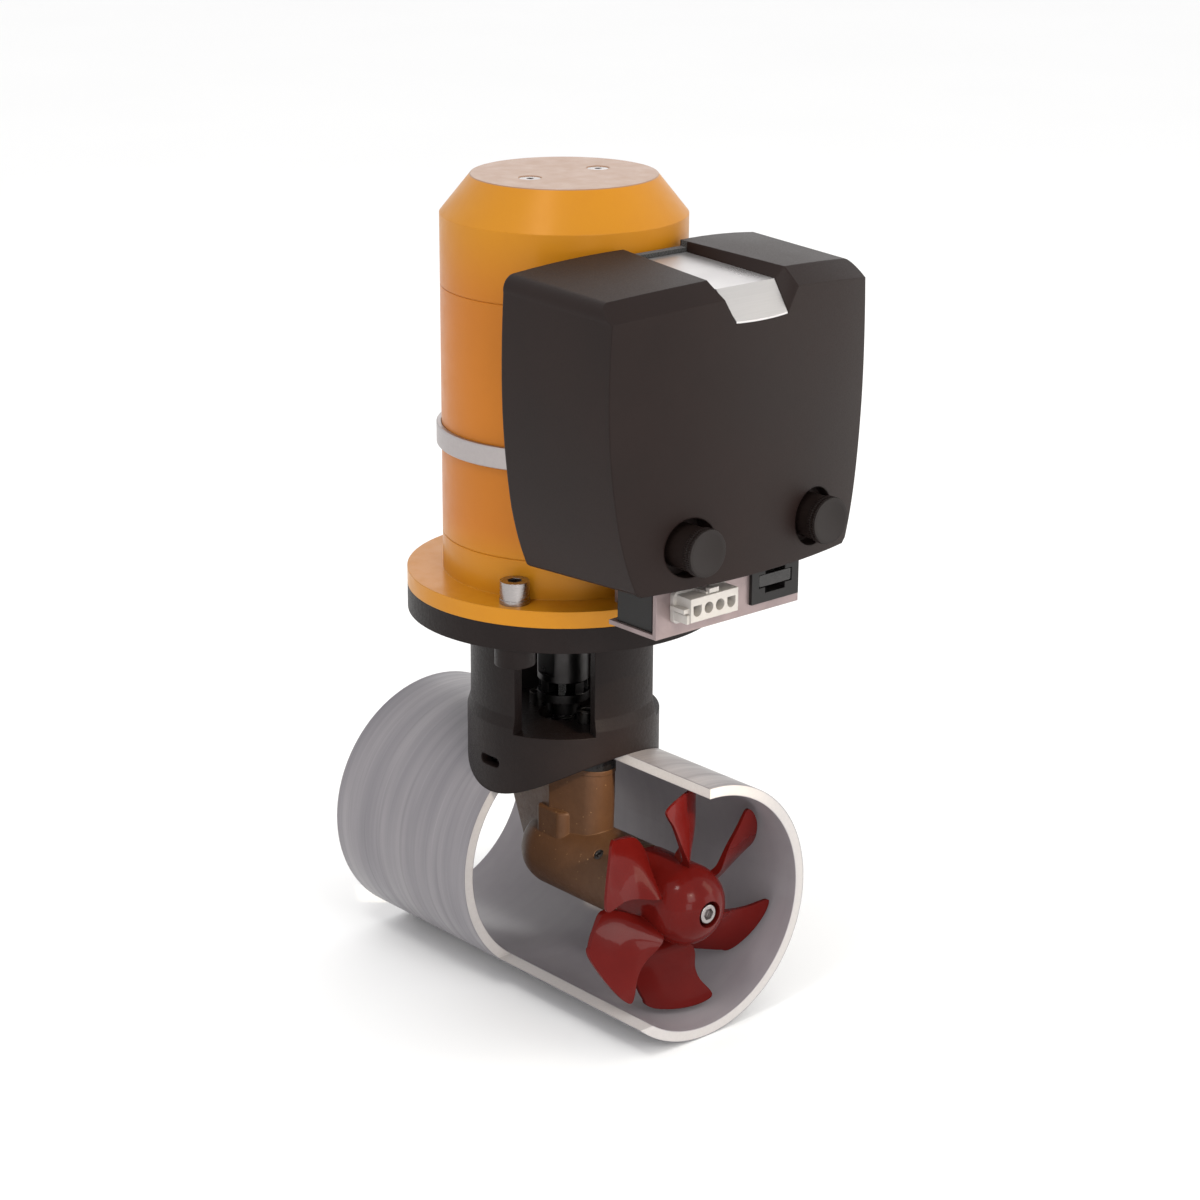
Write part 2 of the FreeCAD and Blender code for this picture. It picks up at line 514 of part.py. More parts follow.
# put its axis along -Y; a gap faces the pinion
gear.rotate(Vector(0, 0, 0), Vector(1, 0, 0), 90)
gear.rotate(Vector(0, 0, 0), Y, -90.0 + 180.0 / Z2)
feature("bevel_gear", gear)
print("gears", round(pinion.Volume), round(gear.Volume), pinion.isValid(), gear.isValid(), len(pinion.Solids), len(gear.Solids), gear.BoundBox)

# ---------------------------------------------------------------- propeller and its shaft (turn about Y)
sh = cyl(V["propshaft_r"], 104, Vector(0, -90, 0), Y)
sh = sh.cut(cyl(2.55, 14, Vector(0, -91, 0), Y))
sh = sh.cut(cyl(1.55, 12, Vector(-6, -63, 0), Vector(1, 0, 0)))
feature("prop_shaft", sh)
feature("shear_pin", cyl(1.5, 27, Vector(-13.5, -63, 0), Vector(1, 0, 0)))


def hub_profile():
    hr, y0, y1, yn = V["hub_r"], -V["hub_y0"], -V["hub_y1"], -V["nose_y"]
    p = [Vector(V["propshaft_r"], y0, 0), Vector(hr - 0.8, y0, 0), Vector(hr, y0 - 0.8, 0), Vector(hr, y1, 0)]
    e = [Part.LineSegment(p[0], p[1]).toShape(), Part.LineSegment(p[1], p[2]).toShape(), Part.LineSegment(p[2], p[3]).toShape()]
    # nose: quarter ellipse down to the counterbore
    a, bb = hr, y1 - yn
    t1 = math.acos(6.2 / a)
    pts = [Vector(a * math.cos(t1 * k / 8), y1 - bb * math.sin(t1 * k / 8), 0) for k in range(9)]
    bs = Part.BSplineCurve()
    bs.interpolate(pts)
    e.append(bs.toShape())
    q = [pts[-1], Vector(6.2, -93.4, 0), Vector(2.6, -93.4, 0), Vector(2.6, -90.0, 0), Vector(V["propshaft_r"], -90.0, 0), p[0]]
    for i in range(5):
        e.append(Part.LineSegment(q[i], q[i + 1]).toShape())
    return Part.Face(Part.Wire(e))


hub = hub_profile().revolve(Vector(0, 0, 0), Y, 360)
hub = hub.cut(cyl(1.55, 28, Vector(-14, -63, 0), Vector(1, 0, 0)))

# blade stations: radius, leading edge angle and y, trailing edge angle and y (angles about Y, from the stem)
STATIONS = [(15.0, 4.0, -80.5, -17.5, -73.5), (25.0, 7.8, -86.2, -28.1, -72.2), (33.0, 9.5, -84.4, -33.0, -69.0),
            (41.0, 12.6, -84.8, -26.2, -69.6), (48.0, 16.9, -86.4, -19.2, -72.4), (56.0, 18.6, -87.8, -12.5, -76.5)]
EDGE = [(12.0, 4.0, -17.0), (18.0, 3.0, -19.5), (25.0, 7.4, -28.1), (30.0, 8.7, -32.0), (36.0, 10.4, -31.6), (42.0, 13.2, -24.8), (46.0, 15.6, -20.8)]
HALF = {15.0: 1.9, 25.0: 1.5, 33.0: 1.15, 41.0: 0.95, 48.0: 0.8, 56.0: 0.65}


def blade_rows(r, tl, yl, tt, yt):
    # upper and lower points of a blade section along +Z, wrapped on a cylinder of radius r and a little wider than the blade
    th = HALF[r]
    rad = math.radians
    ds, dy = r * rad(tt - tl), yt - yl
    ln = math.hypot(ds, dy)
    up, lo = [], []
    for k in range(9):
        u = -0.10 + 1.20 * k / 8.0
        n0 = 0.055 * ln * (1 - (2 * u - 1) ** 2)
        for sgn, dst in ((1, up), (-1, lo)):
            n = n0 + sgn * th
            sx = r * rad(tl) + ds * u - n * dy / ln
            y = yl + dy * u + n * ds / ln
            a = -sx / r
            dst.append(Vector(r * math.sin(a), y, r * math.cos(a)))
    return up, lo


def blade_solid(rows):
    # two smooth faces through the sections, closed by ruled strips
    su, sl = Part.BSplineSurface(), Part.BSplineSurface()
    su.interpolate([q[0] for q in rows])
    sl.interpolate([q[1] for q in rows])
    faces = [su.toShape(), sl.toShape()]
    bu, bl = su.bounds(), sl.bounds()
    for k in (0, 1):
        faces.append(Part.makeRuledSurface(su.uIso(bu[k]).toShape(), sl.uIso(bl[k]).toShape()))
        faces.append(Part.makeRuledSurface(su.vIso(bu[2 + k]).toShape(), sl.vIso(bl[2 + k]).toShape()))
    sh = Part.makeShell(faces)
    sh.sewShape()
    so = Part.makeSolid(sh)
    if so.Volume < 0:
        so.reverse()
    return so


def polar(r, deg, y=-50.0):
    a = math.radians(-deg)
    return Vector(r * math.sin(a), y, r * math.cos(a))


def blade_outline():
    # outline seen along the shaft, with rounded tip corners
    rt = V["tip_r"]
    c1, c2, tip = Part.BSplineCurve(), Part.BSplineCurve(), Part.BSplineCurve()
    le = [polar(r, a) for r, a, _ in EDGE]
    te = [polar(r, a) for r, _, a in EDGE]
    le += [polar(49.4, 17.0)]
    te += [polar(49.4, -17.6)]
    c1.interpolate(le)
    c2.interpolate(te)
    tip.interpolate([le[-1], polar(51.2, 16.6), polar(52.1, 13.6), polar(rt, 9.0), polar(rt, 0.0), polar(rt, -9.0), polar(52.1, -13.8), polar(51.2, -16.5), te[-1]])
    w = Part.Wire([c1.toShape(), tip.toShape(), c2.toShape(), Part.LineSegment(te[0], le[0]).toShape()])
    return Part.Face(w).extrude(Vector(0, -50, 0))


blade = blade_solid([blade_rows(*q) for q in STATIONS])
blade = blade.common(blade_outline())
print("blade", round(blade.Volume), blade.isValid(), len(blade.Solids))
blades = []
for k in range(6):
    c = blade.copy()
    c.rotate(Vector(0, 0, 0), Y, 60.0 * k)
    blades.append(c)
prop = hub.fuse(blades)
core = cyl(V["propshaft_r"], 40, Vector(0, -90, 0), Y)
prop = prop.cut(core)
feature("propeller", prop)
print("propeller", round(prop.Volume), prop.isValid(), len(prop.Solids), prop.BoundBox)
w = cyl(5.0, 1.0, Vector(0, -94.4, 0), Y).cut(cyl(2.6, 3, Vector(0, -95, 0), Y))
feature("prop_washer", w)
s = cyl(4.5, 5.0, Vector(0, -99.4, 0), Y)
s = s.makeFillet(0.6, [e for e in s.Edges if abs(e.BoundBox.YMax + 99.4) < 0.01 and abs(e.BoundBox.YMin + 99.4) < 0.01])
s = s.fuse(cyl(2.5, 16, Vector(0, -94.4, 0), Y)).removeSplitter()
hx = Part.Face(Part.makePolygon([Vector(2.9 * math.cos(k * math.pi / 3), -99.5, 2.9 * math.sin(k * math.pi / 3)) for k in range(7)]))
s = s.cut(hx.extrude(Vector(0, 3.0, 0)))
feature("prop_screw", s)

# ---------------------------------------------------------------- control cover (pulls off towards -Y)
YB, YF = -V["cov_back"], -132.0


def cover_wire(y, off):
    """closed outline of the cover at one station; off moves it inwards"""
    t = (YB - y) / (YB - YF)
    kx = 1.0 - 0.028 * t
    zlo, zhi = 162.3 + 3.9 * t, 296.4 - 4.2 * t

    def P(x, z):
        zz = zlo + (z - 162.3) * (zhi - zlo) / (296.4 - 162.3)
        return Vector(x * kx, y, zz)
    side = [(62.8 - off, 164.5), (67.2 - off, 178.0), (72.2 - off, 205.0), (74.6 - off, 232.0), (75.0 - off, 252.0), (73.9 - off, 283.5 - off)]
    if off:
        side[0] = (61.0 - off, 140.0)
        side[1] = (66.0 - off, 174.0)
    top = [(68.0 - off, 291.1 - off), (0, 296.4 - off), (-68.0 + off, 291.1 - off)]
    r = BS([P(*p) for p in side])
    l = BS([P(-x, z) for x, z in side[::-1]])
    cr = Part.Arc(P(*side[-1]), P(72.3 - off, 289.0 - off), P(*top[0])).toShape()
    tp = Part.Arc(*[P(*p) for p in top]).toShape()
    cl = Part.Arc(P(*top[-1]), P(-72.3 + off, 289.0 - off), P(-side[-1][0], side[-1][1])).toShape()
    zb = 162.3 if not off else 130.0
    a, c = P(-side[0][0], side[0][1]), P(*side[0])
    b1, b2 = P(-side[0][0] + 2.6, zb), P(side[0][0] - 2.6, zb)
    e = [r, cr, tp, cl, l, Part.LineSegment(a, b1).toShape(), Part.LineSegment(b1, b2).toShape(), Part.LineSegment(b2, c).toShape()]
    return Part.Wire(e)


def BS(pts):
    c = Part.BSplineCurve()
    c.interpolate(pts)
    return c.toShape()


def cover_solid(off):
    yb = YB if not off else YB + 20
    s = Part.makeLoft([cover_wire(yb if not off else YB, off), cover_wire(YF, off)], True, True)
    if off:
        # run the hollow out through the open back
        s = s.fuse(Part.Face(cover_wire(YB, off)).extrude(Vector(0, 30, 0)))
    front = cyl(V["cov_arc"] - off, 240, Vector(0, -V["cov_front"] + V["cov_arc"], 110), Z)
    return s.common(front)


outer = cover_solid(0)
zt = lambda e: e.BoundBox.ZMin


def pick(shape, f):
    return [e for e in shape.Edges if f(e)]


# soften the two upright front edges, then bevel the top front edge
up_edges = pick(outer, lambda e: e.BoundBox.ZLength > 80 and e.BoundBox.YMax < -100 and e.BoundBox.YLength < 12)
print("cover upright edges", len(up_edges))
try:
    t = outer.makeFillet(6.5, up_edges)
    if t.isValid():
        outer = t
except Exception as ex:
    print("upright fillet", ex)


def bevel_cut():
    # a ruled wedge swept along the front arc: lower line on the front face, upper line on the top face
    lo, hi = [], []
    for k in range(-8, 9):
        x = k * 10.0
        crown = (1 - (x / 68.0) ** 2) * 5.2
        yf = -V["cov_front"] + x * x / (2 * V["cov_arc"])
        lo.append(Vector(x, yf - 3.0, 281.2 + crown - 2.1))
        hi.append(Vector(x, yf + 14.0, 281.2 + crown + 9.9))
    l1, l2 = BS(lo), BS(hi)
    f = Part.makeRuledSurface(l1, l2)
    return f.extrude(Vector(0, -6, 30))


bc = bevel_cut()
t = outer.cut(bc)
print("bevel", round(outer.Volume), round(t.Volume), t.isValid(), len(t.Solids))
outer = t


def quads(rows):
    """prism skinned over four-cornered stations (y, half width and z at the foot, half width and z at the head)"""
    ws = []
    for y, x0, z0, x1, z1 in rows:
        p = [Vector(-x0, y, z0), Vector(x0, y, z0), Vector(x1, y, z1), Vector(-x1, y, z1)]
        ws.append(Part.makePolygon(p + [p[0]]))
    out = None
    for a, c in zip(ws, ws[1:]):
        s = Part.makeLoft([a, c], True, True)
        out = s if out is None else out.fuse(s)
    return out


def notch(g, lift=0.0):
    # channel across the top; g widens and deepens it
    return quads([(-44.0 + g, 16.3 + g, 291.2 - g + lift, 16.6 + g, 310), (-57.0, 16.3 + g, 290.5 - g + lift, 16.6 + g, 310),
                  (-114.2, 16.9 + g, 287.3 - g + lift, 38.5 + g, 310), (-134.0, 12.6 + g, 264.3 - g + lift, 33.0 + g, 310)])


n0, n1 = notch(0), notch(2.5)
inner = cover_solid(2.5).cut(n1)
bc2 = bc.copy()
bc2.translate(Vector(0, 1.6, -2.4))
inner = inner.cut(bc2)
shell = outer.cut(inner)
wells, holes = [], []
for s in (1, -1):
    x = s * V["knob_x"]
    wells.append(cyl(V["well_r"] + 2.0, 16, Vector(x, -128, V["knob_z"]), Y).common(outer))
    holes.append(cyl(V["well_r"], 30, Vector(x, -144.4, V["knob_z"]), Y))
    holes.append(cyl(3.6, 40, Vector(x, -140, V["knob_z"]), Y))
shell = shell.fuse(wells).cut(holes).cut(n0)
back = Part.Face(Part.makePolygon([Vector(-70, YB, 150), Vector(-16, -57.2, 150), Vector(16, -57.2, 150), Vector(70, YB, 150), Vector(70, 0, 150), Vector(-70, 0, 150), Vector(-70, YB, 150)])).extrude(Vector(0, 0, 180))
shell = shell.cut(back)
shell = shell.removeSplitter()
print("cover", round(shell.Volume), shell.isValid(), len(shell.Solids), shell.BoundBox)
big = sorted(shell.Solids, key=lambda q: -q.Volume)
feature("cover", big[0])

# bare folded plate in the notch
floor = notch(0).cut(notch(0, 0.8))
plate = floor.common(outer)
plate = plate.cut(Part.makeBox(80, 30, 80, Vector(-40, -61.5, 260)))
keep = [Vector(-16.0, -44, 250), Vector(16.0, -44, 250), Vector(16.6, -114.2, 250), Vector(12.7, -134, 250), Vector(-12.7, -134, 250), Vector(-16.6, -114.2, 250)]
plate = plate.common(Part.Face(Part.makePolygon(keep + [keep[0]])).extrude(Vector(0, 0, 70)))
pieces = sorted(plate.Solids, key=lambda q: -q.Volume)
print("id plate", [round(q.Volume) for q in pieces], plate.isValid())
feature("id_plate", pieces[0])

# foam seal across the back end of the notch
strip = notch(0).cut(notch(0, 2.6)).common(Part.makeBox(80, 3.4, 80, Vector(-40, -61.0, 260))).common(outer)
print("foam strip", round(strip.Volume), strip.isValid(), len(strip.Solids))
feature("foam_strip", strip)

# knobs: knurled head, shank and captive screw
for name, s in (("knob_left", -1), ("knob_right", 1)):
    b = new_body(name)
    ax = "knob_x*%d.0" % s if s > 0 else "-knob_x"
    extrude(b, "XZ_Plane", "knob_front-knob_len+0.6", "knob_len-0.6", circles=[("knob_r-0.35", ax, "knob_z")])
    extrude(b, "XZ_Plane", "knob_front-knob_len", 1.0, circles=[("knob_r-0.9", ax, "knob_z")])
    xc, zc = s * V["knob_x"], V["knob_z"]
    g1 = extrude(b, "XZ_Plane", "knob_front-3.9", 1.2, polys=[hexpts(xc, zc, 8.0)])
    extrude(b, "XZ_Plane", 115.0, "knob_front-knob_len-115", circles=[(9.6, ax, "knob_z")])
    extrude(b, "XZ_Plane", 100.0, 15.5, circles=[(3.0, ax, "knob_z")])
    pts = []
    for k in range(120):
        r = V["knob_r"] if k % 2 else V["knob_r"] - 0.35
        t = 2 * math.pi * k / 120
        pts.append(Vector(xc + r * math.cos(t), 0, zc + r * math.sin(t)))
    b.Label = name + "_base"
    SUB.remove(b)
    doc.recompute()
    rims = []
    for y0, h in ((-131.9, 1.6), (-129.9, 1.5)):
        w = Part.Face(Part.makePolygon([p + Vector(0, y0, 0) for p in pts] + [pts[0] + Vector(0, y0, 0)]))
        rims.append(w.extrude(Vector(0, h, 0)))
    k = b.Shape.fuse(rims)
    # shallow dish in the face
    R = 90.0
    dish = Part.makeSphere(R, Vector(xc, -V["knob_front"] - math.sqrt(R * R - 8.6 ** 2), zc))
    k = k.cut(dish).removeSplitter()
    f = feature(name, k)
    print(name, round(k.Volume), k.isValid(), len(k.Solids))

# ---------------------------------------------------------------- control bracket and what it carries
def box(x0, x1, y0, y1, z0, z1):
    return Part.makeBox(x1 - x0, y1 - y0, z1 - z0, Vector(x0, y0, z0))


b = new_body("control_bracket")
T = V["br_t"]
yp = -V["br_y"]
extrude(b, "XY_Plane", "br_z0", "br_t", polys=[[("-br_x", "-br_y"), ("br_x", "-br_y"), ("br_x", "-br_back"), (24.0, "-br_back"), (20.0, -57.5), (-20.0, -57.5), (-24.0, "-br_back"), ("-br_x", "-br_back")]])
extrude(b, "XZ_Plane", "br_y-br_t", "br_t", polys=[[("-br_x", "br_z0"), (40.0, "br_z0"), ("br_x", "br_z0+2"), ("br_x", 163.0), (44.0, 172.0), (44.0, 193.0), (-44.0, 193.0), (-44.0, 172.0), ("-br_x", 163.0)]])
extrude(b, "XZ_Plane", 57.5, "br_t", polys=[rect(-20.0, 20.0, "br_z0", 262.0)])
extrude(b, "XZ_Plane", "br_y+1", 4, polys=[rect(-32.6, -5.0, 149.0, 160.0), rect(13.4, 39.4, 146.4, 163.6)], cut=True, back=False)
extrude(b, "XZ_Plane", "br_y+1", 4, circles=[(3.1, "knob_x", "knob_z"), (3.1, "-knob_x", "knob_z")], cut=True)
extrude(b, "XY_Plane", "br_z0+3", 4, circles=[(2.1, 14.0, -63.5), (2.1, -14.0, -63.5)], cut=True)
# the tube screw of the band sits outside the back web
print("bracket", round(vol(b)), len(b.Shape.Solids), b.Shape.BoundBox)
b = new_body("bracket_screws")
f = extrude(b, "XY_Plane", "br_z0+br_t", 3.2, circles=[(3.6, 14.0, -63.5), (3.6, -14.0, -63.5)])
f = extrude(b, "XY_Plane", "mfl_z1-5", "br_z0-mfl_z1+br_t+5", circles=[(1.95, 14.0, -63.5), (1.95, -14.0, -63.5)])
f = extrude(b, "XY_Plane", "br_z0+br_t+3.2", 2, polys=[hexpts(14.0, -63.5, 3.0), hexpts(-14.0, -63.5, 3.0)], cut=True)
b = new_body("knob_posts")
f = extrude(b, "XZ_Plane", "br_y-br_t-12", 12, polys=[hexpts(V["knob_x"], V["knob_z"], 11.0), hexpts(-V["knob_x"], V["knob_z"], 11.0)])
f = extrude(b, "XZ_Plane", "br_y", 30, circles=[(3.06, "knob_x", "knob_z"), (3.06, "-knob_x", "knob_z")], cut=True)
print("posts", round(vol(b)), len(b.Shape.Solids))

# four-way plug socket: flange behind the face plate, body with round and flat-topped cells, latch and keys
CX, CZ, CP = -18.4, 153.9, 6.5
s = box(CX - 15.6, CX + 14.4, yp - 2.2, yp - 0.0, CZ - 7.2, CZ + 6.9)
s = s.fuse(box(CX - 13.9, CX + 13.3, yp - 11.0, yp + 9.0, CZ - 4.9, CZ + 5.5))
s = s.fuse(box(CX - 4.0, CX + 3.4, yp - 9.6, yp - 1.0, CZ + 5.5, CZ + 6.6))
s = s.fuse(box(CX - 3.0, CX + 2.4, yp - 10.6, yp - 8.2, CZ + 6.0, CZ + 8.0))
s = s.fuse(box(CX - 16.6, CX - 13.9, yp - 9.6, yp - 1.0, CZ - 0.8, CZ + 1.2))
s = s.fuse(box(CX - 15.3, CX - 13.9, yp - 10.2, yp - 1.0, CZ - 5.4, CZ - 1.6))
s = s.fuse(box(CX + 13.3, CX + 14.2, yp - 10.2, yp - 1.0, CZ - 3.6, CZ + 2.6))
s = s.fuse(box(CX + 8.0, CX + 11.6, yp - 9.0, yp - 1.0, CZ - 6.0, CZ - 4.9))
cells = []
for k in range(4):
    x = CX + (k - 1.5) * CP - 0.3
    if k in (0, 3):
        cell = cyl(2.35, 16, Vector(x, yp - 12, CZ - 0.3), Y).common(box(x - 3, x + 3, yp - 12, yp + 4, CZ - 3, CZ + 1.2)).fuse(box(x - 2.35, x + 2.35, yp - 12, yp + 4, CZ - 0.3, CZ + 2.2))
    else:
        cell = cyl(2.5, 16, Vector(x, yp - 12, CZ), Y)
    cells.append(cell)
s = s.cut(cells)
s = s.cut([cyl(1.05, 40, Vector(CX + (k - 1.5) * CP - 0.3, yp - 12, CZ), Y) for k in range(4)])
s = s.cut([cyl(2.0, 8, Vector(CX + (k - 1.5) * CP - 0.3, yp + 4.2, CZ), Y) for k in range(4)])
try:
    ed = [e for e in s.Edges if abs(e.BoundBox.YLength - 2.2) < 0.01 and abs(e.BoundBox.YMin - (yp - 2.2)) < 0.01]
    s2 = s.makeFillet(2.2, [e for e in ed if abs(e.BoundBox.XMin - (CX - 15.6)) < 0.01 or abs(e.BoundBox.XMin - (CX + 14.4)) < 0.01])
    if s2.isValid():
        s = s2
except Exception as ex:
    print("socket fillet", ex)
feature("connector_socket", s.removeSplitter())
pins = []
for k in range(4):
    x = CX + (k - 1.5) * CP - 0.3
    pins.append(cyl(1.05, 16.5, Vector(x, yp - 6.0, CZ), Y).fuse(cyl(2.0, 3.0, Vector(x, yp + 4.2, CZ), Y)))
feature("connector_pins", Part.makeCompound(pins))
print("socket", s.isValid(), len(s.Solids))

# blade-fuse holder and its fuse (pulls out towards -Y)
FX0, FX1, FZ0, FZ1 = 12.2, 40.4, 144.9, 163.6
FCX, FCZ = 26.3, 154.6
s = box(FX0, FX1, yp - 1.7, yp, FZ0, FZ1).fuse(box(FX0 + 1.6, FX1 - 1.4, yp, yp + 18, FZ0 + 2.0, FZ1 - 0.6))
s = s.cut(box(FCX - 9.9, FCX + 9.9, yp - 3, yp + 8.0, FCZ - 3.0, FCZ + 3.0))
s = s.cut(box(FCX - 6.2, FCX + 5.8, yp - 3, yp + 5.0, FCZ - 5.6, FCZ + 6.6))
s = s.cut(box(FCX - 7.6, FCX - 4.0, yp + 6, yp + 16, FCZ - 0.7, FCZ + 0.7)).cut(box(FCX + 4.0, FCX + 7.6, yp + 6, yp + 16, FCZ - 0.7, FCZ + 0.7))
feature("fuse_holder", s.removeSplitter())
print("holder", s.isValid(), len(s.Solids))
fu = box(FCX - 9.5, FCX + 9.5, yp - 1.4, yp + 5.2, FCZ - 2.6, FCZ + 2.6)
fu = fu.makeFillet(0.7, [e for e in fu.Edges if e.BoundBox.YLength > 5])
fb = [box(FCX - 7.4, FCX - 4.2, yp + 5.2, yp + 14.5, FCZ - 0.4, FCZ + 0.4), box(FCX + 4.2, FCX + 7.4, yp + 5.2, yp + 14.5, FCZ - 0.4, FCZ + 0.4)]
feature("fuse", fu.fuse(fb).removeSplitter())

# control box behind the face plate, contactors above it, battery studs and bus bars
s = box(-40.6, 40.6, -104.0, -79.4, 142.8, 176.0)
s = s.cut(box(CX - 15.0, CX + 14.4, -110, -96.0, CZ - 6.4, CZ + 6.9)).cut(box(FX0 + 0.8, FX1 - 0.6, -110, -88.0, FZ0 + 1.2, FZ1 + 1.4))
s = s.makeChamfer(3.0, [e for e in s.Edges if e.BoundBox.ZLength > 30 and e.BoundBox.YMin > -80])
feature("control_box", s)
print("control box", s.isValid(), len(s.Solids))
cs, cc, nuts, studs = [], [], [], []
for sx in (-1, 1):
    x = sx * 24.0
    cs.append(cyl(19.0, 38, Vector(x, -98.0, 232), Y).fuse(box(x - 19, x + 19, -63.0, -59.7, 213, 251)))
    cc.append(cyl(16.5, 5.0, Vector(x, -103.0, 232), Y).fuse(cyl(13.0, 1.5, Vector(x, -104.5, 232), Y)).removeSplitter())
feature("contactors", Part.makeCompound([a.fuse(c).removeSplitter() for a, c in zip(cs, cc)]))
# stud: rolled thread root under the nut, full diameter on the free end
studs = [cyl(3.4, 12.5, Vector(sx * 18.0, -76.5, 262), Y).fuse(cyl(4.0, 9.5, Vector(sx * 18.0, -86.0, 262), Y)) for sx in (-1, 1)]
tb = box(-30, 30, -68.0, -59.7, 252.0, 274.0)
for sx in (-1, 1):
    tb = tb.cut(cyl(3.42, 30, Vector(sx * 18.0, -80.0, 262), Y))
feature("terminal_block", tb)
feature("battery_studs", Part.makeCompound(studs))
for sx in (-1, 1):
    p = [Vector(sx * 18.0 + 7.5 * math.cos(k * math.pi / 3), -70.0, 262 + 7.5 * math.sin(k * math.pi / 3)) for k in range(7)]
    nuts.append(Part.Face(Part.makePolygon(p)).extrude(Vector(0, -6.0, 0)).cut(cyl(3.42, 30, Vector(sx * 18.0, -95.0, 262), Y)))
feature("stud_nuts", Part.makeCompound(nuts))
bars = []
for sx in (-1, 1):
    s = box(sx * 18.0 - 7, sx * 18.0 + 7, -70.0, -68.0, 254.0, 284.0)
    s = s.cut(cyl(3.45, 30, Vector(sx * 18.0, -80.0, 262), Y))
    bars.append(s)
feature("bus_bars", Part.makeCompound(bars))

# ---------------------------------------------------------------- checks and files
doc.recompute()
bad = [o.Name for o in doc.Objects if "Invalid" in o.State or "Error" in o.State]
labels = [s.Label for s in SUB]
for s in SUB:
    if s.Shape.isNull() or not s.Shape.isValid() or len(s.Shape.Solids) == 0:
        bad.append(s.Label)
if bad or len(set(labels)) != len(labels):
    raise RuntimeError("not written: %s" % bad)
os.makedirs("parts", exist_ok=True)
for s in SUB:
    s.Shape.exportStep("parts/%s.step" % s.Label)
print(len(SUB), "sub-parts written")
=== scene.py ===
"""Looks of the underwater thruster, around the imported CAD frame."""
import bpy, bmesh, math, random
from mathutils import Matrix, Vector


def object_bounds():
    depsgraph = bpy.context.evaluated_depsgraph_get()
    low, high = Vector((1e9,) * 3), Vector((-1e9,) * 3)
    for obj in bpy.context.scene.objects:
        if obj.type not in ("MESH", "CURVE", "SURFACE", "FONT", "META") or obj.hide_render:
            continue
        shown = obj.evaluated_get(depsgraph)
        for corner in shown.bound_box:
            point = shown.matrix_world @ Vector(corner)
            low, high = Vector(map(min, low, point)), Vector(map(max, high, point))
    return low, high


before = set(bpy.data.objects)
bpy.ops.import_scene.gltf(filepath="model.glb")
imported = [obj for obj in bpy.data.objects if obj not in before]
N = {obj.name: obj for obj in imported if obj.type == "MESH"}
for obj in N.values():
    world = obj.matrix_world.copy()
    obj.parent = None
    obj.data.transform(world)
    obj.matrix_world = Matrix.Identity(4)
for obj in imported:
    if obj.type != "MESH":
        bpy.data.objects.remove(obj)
cad_lo, cad_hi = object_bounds()
random.seed(7)
C = bpy.context.scene.collection


